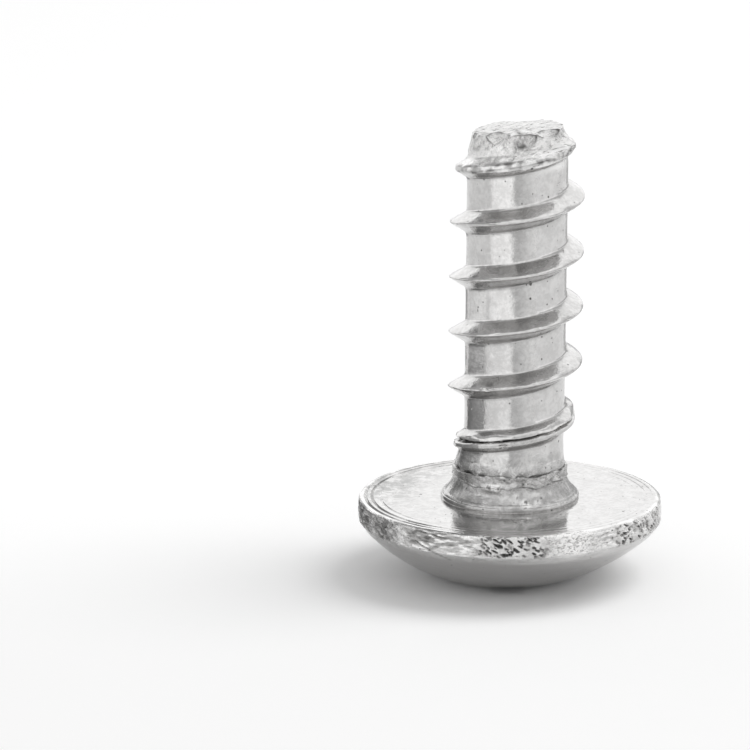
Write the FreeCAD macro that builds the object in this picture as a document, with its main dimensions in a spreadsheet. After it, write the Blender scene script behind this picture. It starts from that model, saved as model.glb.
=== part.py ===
import FreeCAD, Part
import math
import os

import Sketcher

# Truss head screw: one cold-headed, thread-rolled piece of stainless steel, in millimetres.
# The axis is Z. The bearing face under the head lies at z = 0, the point is up, the crown is down.

SIZES = [
    ("head_diameter", 6.78, "widest part of the head"),
    ("head_height", 2.0, "bearing face to the top of the full dome"),
    ("rim_height", 0.50, "upright band round the edge of the head"),
    ("rim_round", 0.08, "rounding where the rim meets the bearing face"),
    ("bevel_height", 0.18, "height of the bevel between rim and dome"),
    ("bevel_width", 0.13, "how far the bevel comes in from the rim"),
    ("seat_ring_diameter", 6.32, "outer ring that the heading die leaves on the bearing face"),
    ("seat_ring_spacing", 0.28, "from the outer ring to the inner ring, measured along a radius"),
    ("seat_ring_width", 0.07, "width of each ring"),
    ("seat_ring_depth", 0.03, "depth of each ring"),
    ("foot_diameter", 3.12, "foot of the neck on the bearing face"),
    ("foot_edge", 0.07, "upright edge of the foot"),
    ("flare_radius", 1.1, "hollow curve of the foot"),
    ("waist_diameter", 2.54, "neck above the foot"),
    ("waist_height", 0.52, "bearing face to the top of the flare"),
    ("seam_height", 0.73, "bearing face to the ledge round the neck"),
    ("seam_ledge", 0.03, "how far the neck steps in at the ledge"),
    ("neck_height", 1.35, "bearing face to where the neck meets the core"),
    ("core_diameter", 2.24, "core of the shank"),
    ("shank_length", 8.41, "bearing face to the end of the point"),
    ("lead_length", 0.75, "last stretch of the core, where it narrows"),
    ("lead_diameter", 2.02, "narrowed core, at the end chamfer"),
    ("tip_diameter", 1.82, "flat end of the point"),
    ("tip_chamfer_length", 0.20, "height of the chamfer round the end"),
    ("thread_diameter", 3.0, "over the crests of the full thread"),
    ("thread_pitch", 1.25, "rise of the ridge in one turn"),
    ("thread_angle", 60.0, "angle between the two flanks, in degrees"),
    ("crest_width", 0.04, "flat on the crest of a full turn"),
    ("thread_start_height", 0.675, "bearing face to the middle of the ridge where it begins"),
    ("fade_height", 0.9, "bearing face to where the ridge first leaves the neck"),
    ("fade_length", 0.3, "rise over which the ridge comes up out of the neck"),
    ("first_turn_diameter", 2.68, "over the low crest of the turn next to the neck"),
    ("first_turn_length", 0.8, "stretch of the shank with the low crest"),
    ("rise_length", 0.5, "stretch over which the crest comes up to full height"),
    ("last_turn_start", 1.40, "end of the point back to where the crest begins to fall"),
    ("last_turn_fall", 0.45, "stretch over which the crest falls"),
    ("last_turn_diameter", 2.74, "over the crest where the fall ends"),
    ("last_crest_diameter", 2.62, "over the crest at the end chamfer"),
    ("last_crest_drop", 0.38, "end of the point back to the end chamfer of the ridge"),
    ("recess_span", 3.12, "across opposite wings of the recess, under the bevel of its mouth"),
    ("mouth_depth", 0.42, "top of the full dome to the lower edge of the bevel"),
    ("mouth_bevel_angle", 45.0, "lean of the bevel at the end of each wing, in degrees"),
    ("recess_depth", 1.28, "from the bevel to the floor at the end of each wing"),
    ("wing_width", 0.68, "width of a wing under the bevel"),
    ("wing_taper", 26.5, "lean of the end wall of a wing from the axis, in degrees"),
    ("flank_taper", 5.75, "lean of the side walls of a wing from the axis, in degrees"),
    ("land_radius", 0.96, "rounding of the land between two wings, under the bevel"),
    ("floor_land_radius", 0.48, "the same rounding at the floor"),
    ("floor_rise", 0.30, "from the floor at the end of a wing to the middle of the recess"),
    ("point_span", 0.24, "size of the small flat cross in the middle of the floor"),
    ("land_lip_depth", 0.18, "top of the full dome to the outer edge of the facets on the lands"),
    ("land_facet_diameter", 2.34, "outside of the sloped facets on the lands"),
    ("land_facet_depth", 0.42, "depth of the sloped facets"),
    ("dish_angle", 11.0, "lean of the shallow dish round the recess, in degrees"),
]

TRIM_ROOM = 0.3          # how far a cutting outline stands clear of what it cuts
ROOT_OVERLAP = 0.06      # how deep the ridge is rooted in the core

doc = FreeCAD.newDocument("truss_head_screw")


def make_sheet():
    """Spreadsheet with every driving size under its own name."""
    table = doc.addObject("Spreadsheet::Sheet", "sizes")
    for row, (alias, value, meaning) in enumerate(SIZES, start=1):
        table.set("A%d" % row, alias)
        table.set("B%d" % row, str(value))
        table.set("C%d" % row, meaning)
        table.setAlias("B%d" % row, alias)
    doc.recompute()
    return table


sheet = make_sheet()


def value_of(formula):
    """Number that a formula of named sizes gives now."""
    result = sheet.evalExpression(formula)
    return float(getattr(result, "Value", result))


def origin_plane(body, role):
    """One of the body's own three base planes."""
    return next(item for item in body.Origin.OriginFeatures if item.Role == role)


def new_sketch(body, name, role, height="0"):
    """Empty sketch on a base plane of the body, raised along the plane's normal."""
    sketch = body.newObject("Sketcher::SketchObject", name)
    sketch.AttachmentSupport = [(origin_plane(body, role), "")]
    sketch.MapMode = "FlatFace"
    if height != "0":
        sketch.setExpression("AttachmentOffset.Base.z", height)
    return sketch


def arc_between(start, end, radius, turn):
    """Arc of the given radius; turn is 1 for counter-clockwise and -1 for clockwise."""
    chord = end - start
    half = chord.Length / 2
    sagitta_arm = math.sqrt(max(radius * radius - half * half, 0.0))
    left = FreeCAD.Vector(-chord.y, chord.x, 0).normalize()
    centre = (start + end) / 2 + left * sagitta_arm * turn
    first, last = (start, end) if turn > 0 else (end, start)
    angle = [math.atan2((point - centre).y, (point - centre).x) for point in (first, last)]
    circle = Part.Circle(centre, FreeCAD.Vector(0, 0, 1), radius)
    return Part.ArcOfCircle(circle, angle[0], angle[1])


def pin_point(sketch, edge, end, across, formula, label):
    """Fix one coordinate of an edge's end to a formula of named sizes."""
    if formula == "0":
        sketch.addConstraint(Sketcher.Constraint("PointOnObject", edge, end, -2 if across == "X" else -1))
        return
    constraint = Sketcher.Constraint("Distance" + across, -1, 1, edge, end, value_of(formula))
    index = sketch.addConstraint(constraint)
    sketch.renameConstraint(index, label)
    sketch.setExpression("Constraints." + label, formula)


def draw_outline(sketch, corners):
    """Closed outline through the corners.

    A corner is (x, y) and goes on to the next with a straight edge, or (x, y, radius, turn) and
    goes on with an arc. The radius "axis" means an arc with its centre on the upright axis.
    """
    spots = [FreeCAD.Vector(value_of(corner[0]), value_of(corner[1]), 0) for corner in corners]
    edges = []
    for number, corner in enumerate(corners):
        start = spots[number]
        end = spots[(number + 1) % len(spots)]
        if len(corner) == 2:
            edges.append((sketch.addGeometry(Part.LineSegment(start, end)), 1, 2))
            continue
        radius, turn = corner[2], corner[3]
        if radius == "axis":
            middle = (start.y + end.y) / 2 + (end.x ** 2 - start.x ** 2) / (2 * (end.y - start.y))
            size = math.hypot(start.x, start.y - middle)
        else:
            size = value_of(radius)
        arc = sketch.addGeometry(arc_between(start, end, size, turn))
        edges.append((arc, 1, 2) if turn > 0 else (arc, 2, 1))
        if radius == "axis":
            sketch.addConstraint(Sketcher.Constraint("PointOnObject", arc, 3, -2))
        else:
            index = sketch.addConstraint(Sketcher.Constraint("Radius", arc, size))
            sketch.renameConstraint(index, "radius_%d" % number)
            sketch.setExpression("Constraints.radius_%d" % number, radius)
    for number, (edge, first, last) in enumerate(edges):
        following = edges[(number + 1) % len(edges)]
        sketch.addConstraint(Sketcher.Constraint("Coincident", edge, last, following[0], following[1]))
        pin_point(sketch, edge, first, "X", corners[number][0], "x_%d" % number)
        pin_point(sketch, edge, first, "Y", corners[number][1], "y_%d" % number)


def turned(body, kind, name, sketch):
    """Full turn of a sketch about the screw's axis."""
    feature = body.newObject(kind, name)
    feature.Profile = sketch
    feature.ReferenceAxis = (sketch, ["V_Axis"])
    feature.Angle = 360
    doc.recompute()
    return feature


def blank(body):
    """Plain core of the shank, longer than the finished shank."""
    radius = "sizes.core_diameter / 2"
    end = "sizes.shank_length"
    top = "sizes.shank_length + sizes.thread_pitch"
    sketch = new_sketch(body, "core_outline", "XZ_Plane")
    draw_outline(sketch, [
        ("0", "0"),
        (radius, "0"),
        (radius, "%s - sizes.lead_length" % end),
        ("sizes.lead_diameter / 2", end),
        ("sizes.lead_diameter / 2", top),
        ("0", top),
    ])
    turned(body, "PartDesign::Revolution", "core", sketch)


def ridge(body):
    """Right-hand ridge that rises out of the neck and runs past the end of the point."""
    middle = "sizes.thread_start_height"
    root_radius = "(sizes.lead_diameter / 2 - %g)" % ROOT_OVERLAP
    crest_radius = "sizes.thread_diameter / 2"
    half_crest = "sizes.crest_width / 2"
    half_root = "(%s + (%s - %s) * tan(sizes.thread_angle / 2 * 1 deg))" % (
        half_crest, crest_radius, root_radius)
    sketch = new_sketch(body, "ridge_outline", "XZ_Plane")
    draw_outline(sketch, [
        (root_radius, "%s - %s" % (middle, half_root)),
        (crest_radius, "%s - %s" % (middle, half_crest)),
        (crest_radius, "%s + %s" % (middle, half_crest)),
        (root_radius, "%s + %s" % (middle, half_root)),
    ])
    helix = body.newObject("PartDesign::AdditiveHelix", "ridge")
    helix.Profile = sketch
    helix.ReferenceAxis = (sketch, ["V_Axis"])
    helix.Mode = "pitch-height-angle"
    helix.LeftHanded = False
    helix.Angle = 0
    helix.setExpression("Pitch", "sizes.thread_pitch")
    helix.setExpression("Height", "sizes.shank_length - sizes.thread_start_height + %g" % TRIM_ROOM)
    doc.recompute()


def point(body):
    """Turned cut that brings the last turn down and gives the shank its length and its point."""
    end = "sizes.shank_length"
    outside = "sizes.thread_diameter / 2 + %g" % TRIM_ROOM
    above = "sizes.shank_length + 2 * sizes.thread_pitch"
    sketch = new_sketch(body, "point_outline", "XZ_Plane")
    draw_outline(sketch, [
        ("0", end),
        ("sizes.tip_diameter / 2", end),
        ("sizes.lead_diameter / 2", "%s - sizes.tip_chamfer_length" % end),
        ("sizes.last_crest_diameter / 2", "%s - sizes.last_crest_drop" % end),
        ("sizes.last_turn_diameter / 2", "%s - sizes.last_turn_start + sizes.last_turn_fall" % end),
        (outside, "%s - sizes.last_turn_start" % end),
        (outside, above),
        ("0", above),
    ])
    turned(body, "PartDesign::Groove", "point_cut", sketch)


def fade(body):
    """Turned cut that keeps the first turn low and lets it sink into the neck."""
    buried = "(sizes.core_diameter / 2 + sizes.seam_ledge)"
    low = "sizes.first_turn_diameter / 2"
    outside = "sizes.thread_diameter / 2 + %g" % TRIM_ROOM
    bottom = "sizes.thread_start_height - sizes.thread_pitch / 2"
    risen = "sizes.fade_height + sizes.fade_length"
    sketch = new_sketch(body, "fade_outline", "XZ_Plane")
    draw_outline(sketch, [
        (buried, bottom),
        (outside, bottom),
        (outside, "%s + sizes.first_turn_length + sizes.rise_length" % risen),
        ("sizes.thread_diameter / 2", "%s + sizes.first_turn_length + sizes.rise_length" % risen),
        (low, "%s + sizes.first_turn_length" % risen),
        (low, risen),
        (buried, "sizes.fade_height"),
    ])
    turned(body, "PartDesign::Groove", "fade_cut", sketch)


def head(body):
    """Head and neck, turned in one piece onto the core."""
    rim = "sizes.head_diameter / 2"
    dome_edge = "sizes.head_diameter / 2 - sizes.bevel_width"
    waist = "sizes.waist_diameter / 2"
    core = "sizes.core_diameter / 2"
    sketch = new_sketch(body, "head_outline", "XZ_Plane")
    draw_outline(sketch, [
        ("0", "-sizes.head_height", "axis", 1),
        (dome_edge, "-(sizes.rim_height + sizes.bevel_height)"),
        (rim, "-sizes.rim_height"),
        (rim, "-sizes.rim_round", "sizes.rim_round", 1),
        ("sizes.head_diameter / 2 - sizes.rim_round", "0"),
        ("sizes.foot_diameter / 2", "0"),
        ("sizes.foot_diameter / 2", "sizes.foot_edge", "sizes.flare_radius", -1),
        (waist, "sizes.waist_height"),
        (waist, "sizes.seam_height"),
        ("sizes.waist_diameter / 2 - sizes.seam_ledge", "sizes.seam_height + sizes.seam_ledge"),
        (core, "sizes.neck_height"),
        ("0", "sizes.neck_height"),
    ])
    turned(body, "PartDesign::Revolution", "head_and_neck", sketch)


def seat_rings(body):
    """Two fine rings that the heading die leaves near the edge of the bearing face."""
    for name, radius in (
            ("outer_ring", "sizes.seat_ring_diameter / 2"),
            ("inner_ring", "sizes.seat_ring_diameter / 2 - sizes.seat_ring_spacing")):
        sketch = new_sketch(body, name + "_outline", "XZ_Plane")
        draw_outline(sketch, [
            ("%s - sizes.seat_ring_width" % radius, "sizes.seat_ring_depth"),
            (radius, "-sizes.seat_ring_depth"),
            ("%s + sizes.seat_ring_width" % radius, "sizes.seat_ring_depth"),
        ])
        turned(body, "PartDesign::Groove", name, sketch)


def cross_section(body, name, height, span, width, land_radius):
    """Cross with the corners between its wings rounded, at one height of the recess."""
    sketch = new_sketch(body, name, "XY_Plane", height)
    inner = "(%s + %s)" % (width, land_radius)
    corners = []
    for along, side in (((1, 0), (0, 1)), ((0, 1), (-1, 0)), ((-1, 0), (0, -1)), ((0, -1), (1, 0))):

        def place(forward, sideways):
            parts = []
            for axis in (0, 1):
                if along[axis]:
                    parts.append("%s(%s)" % ("-" if along[axis] < 0 else "", forward))
                else:
                    parts.append("%s(%s)" % ("-" if side[axis] < 0 else "", sideways))
            return parts

        corners.append(tuple(place(span, "-%s" % width)))
        corners.append(tuple(place(span, width)))
        corners.append(tuple(place(inner, width)) + (land_radius, -1))
        following = place(width, inner)
        corners.append(tuple(following))
    draw_outline(sketch, corners)
    return sketch


def recess(body):
    """Cross recess: bevelled mouth, tapered wings, rounded lands and a sloped floor."""
    room = "(sizes.mouth_depth + %g)" % TRIM_ROOM
    half_span = "sizes.recess_span / 2"
    half_width = "sizes.wing_width / 2"
    bevel_level = "-(sizes.head_height - sizes.mouth_depth)"
    floor_level = "%s + sizes.recess_depth" % bevel_level
    floor_span = "(%s - sizes.recess_depth * tan(sizes.wing_taper * 1 deg))" % half_span
    floor_width = "(%s - sizes.recess_depth * tan(sizes.flank_taper * 1 deg))" % half_width
    share = "(sizes.point_span / 2 / %s)" % floor_span
    mouth = cross_section(
        body, "mouth_cross", "-(sizes.head_height + %g)" % TRIM_ROOM,
        "%s + %s * tan(sizes.mouth_bevel_angle * 1 deg)" % (half_span, room),
        "(%s + %s * tan(sizes.flank_taper * 1 deg))" % (half_width, room),
        "sizes.land_radius")
    bevel = cross_section(body, "bevel_cross", bevel_level, half_span, half_width, "sizes.land_radius")
    floor = cross_section(
        body, "floor_cross", floor_level, floor_span, floor_width, "sizes.floor_land_radius")
    middle = cross_section(
        body, "middle_cross", "%s + sizes.floor_rise" % floor_level,
        "sizes.point_span / 2", "%s * %s" % (floor_width, share),
        "sizes.floor_land_radius * %s" % share)
    loft = body.newObject("PartDesign::SubtractiveLoft", "recess")
    loft.Profile = mouth
    loft.Sections = [bevel, floor, middle]
    loft.Ruled = True
    doc.recompute()


def lands(body):
    """Turned cut that slopes the tips of the lands and dishes the dome round the recess."""
    lip = "-sizes.head_height + sizes.land_lip_depth"
    lip_radius = "sizes.land_facet_diameter / 2"
    reach = "(sizes.recess_span / 2 + %g)" % TRIM_ROOM
    below = "-(sizes.head_height + %g)" % TRIM_ROOM
    inner = "%s + sizes.land_facet_depth" % lip
    sketch = new_sketch(body, "land_outline", "XZ_Plane")
    draw_outline(sketch, [
        ("0", below),
        (reach, below),
        (reach, "%s + (%s - %s) * tan(sizes.dish_angle * 1 deg)" % (lip, reach, lip_radius)),
        (lip_radius, lip),
        ("%s - sizes.land_facet_depth" % lip_radius, inner),
        ("0", inner),
    ])
    turned(body, "PartDesign::Groove", "land_cut", sketch)


def check(document):
    """Stop if any object failed or if the screw isn't one sound solid."""
    for item in document.Objects:
        if "Invalid" in item.State or "Error" in item.State:
            raise RuntimeError("%s failed: %s" % (item.Label, item.State))
    shape = document.getObject("screw").Shape
    if shape.isNull() or not shape.isValid() or len(shape.Solids) != 1:
        raise RuntimeError("the screw isn't one valid solid")


screw = doc.addObject("PartDesign::Body", "screw")
screw.Label = "screw"
blank(screw)
ridge(screw)
point(screw)
fade(screw)
head(screw)
seat_rings(screw)
recess(screw)
lands(screw)
doc.recompute()
check(doc)

os.makedirs("parts", exist_ok=True)
screw.Shape.exportStep("parts/%s.step" % screw.Label)
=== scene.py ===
import math

import bmesh
import bpy
from bpy.props import FloatProperty, FloatVectorProperty, IntProperty, PointerProperty
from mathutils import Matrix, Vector, kdtree, noise


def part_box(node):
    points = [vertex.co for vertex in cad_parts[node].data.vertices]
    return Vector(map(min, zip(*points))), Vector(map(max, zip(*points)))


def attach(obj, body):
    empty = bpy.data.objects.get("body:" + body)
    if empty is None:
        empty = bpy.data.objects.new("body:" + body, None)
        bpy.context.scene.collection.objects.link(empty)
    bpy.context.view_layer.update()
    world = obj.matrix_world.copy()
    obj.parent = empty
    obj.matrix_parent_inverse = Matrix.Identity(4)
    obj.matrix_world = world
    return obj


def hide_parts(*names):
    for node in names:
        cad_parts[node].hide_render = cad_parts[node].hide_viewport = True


bl_info = {
    "name": "Truss head screw",
    "version": (1, 0, 0),
    "blender": (4, 5, 0),
    "location": "3D View > Sidebar > Screw",
    "description": "Cold-headed, thread-rolled stainless screw that stands on its head",
    "category": "Add Mesh",
}

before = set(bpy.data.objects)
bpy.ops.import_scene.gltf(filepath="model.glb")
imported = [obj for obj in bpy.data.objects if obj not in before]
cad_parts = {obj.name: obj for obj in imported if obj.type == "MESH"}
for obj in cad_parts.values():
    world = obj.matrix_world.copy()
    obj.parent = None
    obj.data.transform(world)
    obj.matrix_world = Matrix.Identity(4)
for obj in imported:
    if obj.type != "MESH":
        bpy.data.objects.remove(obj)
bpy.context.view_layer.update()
NODE = "screw"
NODE_LOW, NODE_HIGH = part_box(NODE)

MM = 0.001               # one millimetre, in metres
TURN = 2 * math.pi
MERGE = 0.0004           # points this close are one, in the modelling scale
CREASE = math.radians(38)    # edges that bend more than this stay crisp
ROUND_COLUMNS = 96       # mesh columns of plain round things
FACE_RINGS = 16          # rings of faces on the sheared end
ARC_COLUMNS = 16         # places along the arc of a card
SENSOR_WIDTH = 36        # of the camera, in millimetres

# Places and sizes in mm.
CUT_ROOM = 0.3           # how far a cutting solid reaches past the metal
NECK_SEAM = 0.72         # height at which the shank comes out of the neck's fold
NECK_TOP = 1.245         # radius of the shank there
SHANK_FOOT = 0.60        # height at which the shank starts, inside the neck
FINE_POINT = 0.55        # length of the point whose front has a finer mesh
FLOOR_LEVEL = NODE_LOW.z / MM
RIM_INSIDE = 3.1         # radius inside of which no place belongs to the rim
NECK_OUTSIDE = 1.7       # radius outside of which no place belongs to the neck
LAST_TURN = (7.4, 7.6)   # heights between which the ridge's cut last turn begins

# Patches of wear, of painted shade and of painted highlight, each as (middle, half width) in degrees round
# the axis.
RIM_PITS = ((262, 5), (270, 6), (278, 5), (319, 6), (329, 7), (341, 6), (62, 12), (130, 9))
RIM_FOLDS = ((212, 10), (160, 14))
RIM_PLATES = ((238, 14), (184, 16))
RIM_SCALES = ((292, 13), (20, 14), (100, 20))
# Painted shade on the left of the bearing face.
SEAT_SHADE = ((160, 32),)
NECK_SHADOW = ((222, 13),)
NECK_SPOTS = ((286, 15),)
NECK_TEAR = ((252, 12),)
NECK_BURR = ((253, 14),)
# Painted glints above the seam.
SEAM_FLECKS = ((262, 30),)
POINT_SPOT = ((276, 9),)
POINT_SHADOW = ((205, 16),)
POINT_CHIP = ((243, 16),)

RIM_SCRATCH = ((231, -0.32), (249, -0.74))        # its ends: degrees round the head, height in mm
SEAT_RINGS = ((3.235, 0.045), (3.095, 0.045), (2.92, 0.016))   # radius and depth of each groove, in mm

# Flare of the neck: how far outside the foot's radius, and how high, in mm.
FLARE = (
    (0.05, 0), (0.004, 0), (0.012, 0.03), (0.010, 0.075), (-0.006, 0.100), (-0.026, 0.105),
    (-0.040, 0.135), (-0.062, 0.160), (-0.084, 0.166), (-0.104, 0.192), (-0.13, 0.225),
    (-0.16, 0.262), (-0.19, 0.305), (-0.222, 0.355), (-0.25, 0.41))

# Chips out of the point: inner and outer end, with heights from the end of the screw, and the
# half lengths down the slope, across it and into the metal, in mm.
CHIPS = (
    ((-0.44, -0.06, 0.01), (-0.42, -0.92, -0.26), (0.70, 0.30, 0.30)),
    ((0.02, -0.72, 0.01), (0.10, -1.00, -0.30), (0.60, 0.36, 0.30)),
    ((-0.20, -0.94, -0.24), (-0.18, -1.08, -0.42), (0.30, 0.20, 0.16)),
    ((0.50, -0.50, 0.02), (0.84, -0.80, -0.10), (0.70, 0.50, 0.30)),
    ((-0.82, -0.20, 0.01), (-1.06, -0.28, -0.34), (0.50, 0.22, 0.25)),
    ((0.10, 0.70, 0.02), (0.16, 1.02, -0.22), (0.50, 0.60, 0.30)))

LAMP_PLACE = (0.16, 0.02, 0.26)                   # metres
LAMP_SIZE = 0.22                                  # metres
OVERHEAD_CARDS = (                                # name, place and radius in mm, grey
    ("ceiling_card", (-62, 155, 200), 116, 0.23),
    ("front_ceiling_card", (0, -180, 210), 170, 1.05))

# Cards round the screw: name, two azimuths from the camera's side in degrees, distance and two
# heights in mm, grey at the two heights, share at the two azimuths.
STANDING_CARDS = (
    ("bright_card", (-58, -9), 9.0, (FLOOR_LEVEL, 2.0), (0.96, 1.06), (0.95, 1.12)),
    ("bright_card_top", (-58, -9), 9.0, (2.0, 7.5), (1.06, 1.10), (1.16, 1.24)),
    ("camera_card", (-9, 40), 9.0, (FLOOR_LEVEL, 7.5), (0.66, 0.66), (1.0, 1.45)),
    ("left_card", (-130, -68), 6.0, (FLOOR_LEVEL, 0.9), (0.26, 0.24), (0.9, 2.0)),
    ("left_card_top", (-130, -68), 6.0, (0.9, 3.7), (0.24, 1.0), (0.95, 1.2)),
    ("upper_left_card", (-140, -45), 20.0, (13, 34), (0.50, 0.50), (1, 1)),
    ("upper_right_card", (50, 130), 20.0, (13, 34), (0.75, 0.75), (1, 1)),
    ("flare_card", (95, 152), 20.0, (4.2, 10), (0.60, 0.60), (1, 1)),
    ("back_left_card", (-170, -145), 20.0, (FLOOR_LEVEL, 0.8), (0.45, 0.45), (1, 1)),
    ("back_right_card", (145, 170), 20.0, (FLOOR_LEVEL, 4.0), (0.55, 0.55), (1, 1)))


class HeadSizes(bpy.types.PropertyGroup):
    """Sizes of the head, its bearing face and the neck."""

    diameter: FloatProperty(
        name="Diameter", description="Widest part of the head",
        default=NODE_HIGH.x - NODE_LOW.x, unit="LENGTH")
    height: FloatProperty(
        name="Height", description="Bearing face to the top of the full dome",
        default=2.0 * MM, unit="LENGTH")
    rim_height: FloatProperty(
        name="Rim height", description="Upright band round the edge",
        default=0.50 * MM, unit="LENGTH")
    rim_round: FloatProperty(
        name="Rim rounding", description="Rounding where the rim meets the bearing face",
        default=0.08 * MM, unit="LENGTH")
    bevel_height: FloatProperty(
        name="Bevel height", description="Height of the bevel between rim and dome",
        default=0.18 * MM, unit="LENGTH")
    bevel_width: FloatProperty(
        name="Bevel width", description="How far the bevel comes in from the rim",
        default=0.13 * MM, unit="LENGTH")
    foot_diameter: FloatProperty(
        name="Foot diameter", description="Foot of the neck on the bearing face",
        default=3.08 * MM, unit="LENGTH")
    waist_diameter: FloatProperty(
        name="Waist diameter", description="Neck above its flared foot",
        default=2.54 * MM, unit="LENGTH")
    fold_height: FloatProperty(
        name="Fold height", description="Bearing face to the fold at the top of the flare",
        default=0.51 * MM, unit="LENGTH")
    seam_height: FloatProperty(
        name="Seam height", description="Bearing face to the folded seam round the neck",
        default=0.74 * MM, unit="LENGTH")
    offset: FloatProperty(
        name="Offset", description="How far the head sits to one side of the shank",
        default=-0.085 * MM, unit="LENGTH")
    rim_tear: FloatProperty(
        name="Rim tear", description="Depth of the torn skin on the rim",
        default=0.030 * MM, unit="LENGTH")
    columns: IntProperty(
        name="Columns", description="Mesh columns round the rim, with fewer on the crown and the neck",
        default=1040, min=96)


class ShankSizes(bpy.types.PropertyGroup):
    """Sizes of the rolled shank and its ridge."""

    core_diameter: FloatProperty(
        name="Core diameter", description="Core of the shank between the turns",
        default=2.24 * MM, unit="LENGTH")
    end: FloatProperty(
        name="End", description="Bearing face to the end of the point",
        default=NODE_HIGH.z, unit="LENGTH")
    lead_length: FloatProperty(
        name="Lead length", description="Last stretch, where the core narrows",
        default=0.75 * MM, unit="LENGTH")
    lead_diameter: FloatProperty(
        name="Lead diameter", description="Core at the end of the point",
        default=2.02 * MM, unit="LENGTH")
    tip_diameter: FloatProperty(
        name="Tip diameter", description="Sheared face at the end",
        default=1.86 * MM, unit="LENGTH")
    tip_tilt: FloatProperty(
        name="Tip tilt", description="Lean of the sheared face",
        default=math.radians(4.5), subtype="ANGLE")
    thread_diameter: FloatProperty(
        name="Thread diameter", description="Over the crests of the full ridge",
        default=3.0 * MM, unit="LENGTH")
    pitch: FloatProperty(
        name="Pitch", description="Rise of the ridge in one turn",
        default=1.25 * MM, unit="LENGTH")
    thread_angle: FloatProperty(
        name="Thread angle", description="Angle between the two flanks",
        default=math.radians(60), subtype="ANGLE")
    crest_width: FloatProperty(
        name="Crest width", description="Rounded top of the ridge",
        default=0.08 * MM, unit="LENGTH")
    lean: FloatProperty(
        name="Lean", description="Slight lean of the shank on its head",
        default=math.radians(0.4), subtype="ANGLE")
    thread_start: FloatProperty(
        name="Thread start", description="Height of the ridge's middle at azimuth zero, nearest the head",
        default=0.675 * MM, unit="LENGTH")
    columns: IntProperty(
        name="Columns", description="Mesh columns in one turn",
        default=150, min=24)


class RecessSizes(bpy.types.PropertyGroup):
    """Sizes of the cross recess in the crown."""

    span: FloatProperty(
        name="Span", description="Across opposite wings, under the bevel of the mouth",
        default=3.12 * MM, unit="LENGTH")
    mouth_depth: FloatProperty(
        name="Mouth depth", description="Top of the full dome to the lower edge of the bevel",
        default=0.42 * MM, unit="LENGTH")
    depth: FloatProperty(
        name="Depth", description="From the bevel to the floor at the end of a wing",
        default=1.28 * MM, unit="LENGTH")
    wing_width: FloatProperty(
        name="Wing width", description="Width of a wing under the bevel",
        default=0.68 * MM, unit="LENGTH")
    wing_taper: FloatProperty(
        name="Wing taper", description="Lean of the end wall of a wing",
        default=math.radians(26.5), subtype="ANGLE")
    flank_taper: FloatProperty(
        name="Flank taper", description="Lean of the side walls of a wing",
        default=math.radians(5.75), subtype="ANGLE")
    land_radius: FloatProperty(
        name="Land radius", description="Rounding of the land between two wings",
        default=0.96 * MM, unit="LENGTH")
    floor_land_radius: FloatProperty(
        name="Floor land radius", description="The same rounding at the floor",
        default=0.48 * MM, unit="LENGTH")
    floor_rise: FloatProperty(
        name="Floor rise", description="Floor at the end of a wing to the middle of the recess",
        default=0.30 * MM, unit="LENGTH")
    point_span: FloatProperty(
        name="Point span", description="Small flat cross in the middle of the floor",
        default=0.24 * MM, unit="LENGTH")
    lip_depth: FloatProperty(
        name="Lip depth", description="Top of the full dome to the outer edge of the land facets",
        default=0.18 * MM, unit="LENGTH")
    facet_diameter: FloatProperty(
        name="Facet diameter", description="Outside of the sloped facets on the lands",
        default=2.34 * MM, unit="LENGTH")
    facet_depth: FloatProperty(
        name="Facet depth", description="Depth of the sloped facets",
        default=0.42 * MM, unit="LENGTH")
    dish_angle: FloatProperty(
        name="Dish angle", description="Lean of the shallow dish round the recess",
        default=math.radians(11), subtype="ANGLE")


class SteelLook(bpy.types.PropertyGroup):
    """Finish of the stainless steel, with the colours of its painted shade and painted highlights."""

    colour: FloatVectorProperty(
        name="Colour", description="Bare stainless steel",
        default=(0.65, 0.645, 0.64), subtype="COLOR", min=0, max=1)
    dull_colour: FloatVectorProperty(
        name="Dull colour", description="Steel where the skin is a little dulled",
        default=(0.54, 0.535, 0.53), subtype="COLOR", min=0, max=1)
    # Also the colour of painted highlights: scales, ridges, bevel and rounded edge of the rim, bright
    # patches of the neck and glints above the seam.
    bare_and_highlight_colour: FloatVectorProperty(
        name="Fresh colour", description="Bare sheared steel at the point",
        default=(0.88, 0.875, 0.87), subtype="COLOR", min=0, max=1)
    # Colour of painted shade on the left of the bearing face and of darker patches on the neck.
    darkening_colour: FloatVectorProperty(
        name="Stain colour", description="Smears on one side of the bearing face",
        default=(0.30, 0.30, 0.295), subtype="COLOR", min=0, max=1)
    # Also the colour of painted shade in cracks, crevices, roots, the seam and along the outlines of chips.
    pit_and_shade_colour: FloatVectorProperty(
        name="Pit colour", description="Bottom of pits, tears and crevices",
        default=(0.10, 0.098, 0.095), subtype="COLOR", min=0, max=1)
    satin: FloatProperty(
        name="Satin roughness", description="Rolled and headed surfaces",
        default=0.07, subtype="FACTOR", min=0, max=1)
    bright: FloatProperty(
        name="Bright roughness", description="Bearing face, pressed smooth by the die",
        default=0.05, subtype="FACTOR", min=0, max=1)
    torn: FloatProperty(
        name="Torn roughness", description="Torn rim and seam",
        default=0.14, subtype="FACTOR", min=0, max=1)
    sheared: FloatProperty(
        name="Sheared roughness", description="Broken point",
        default=0.30, subtype="FACTOR", min=0, max=1)


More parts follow.
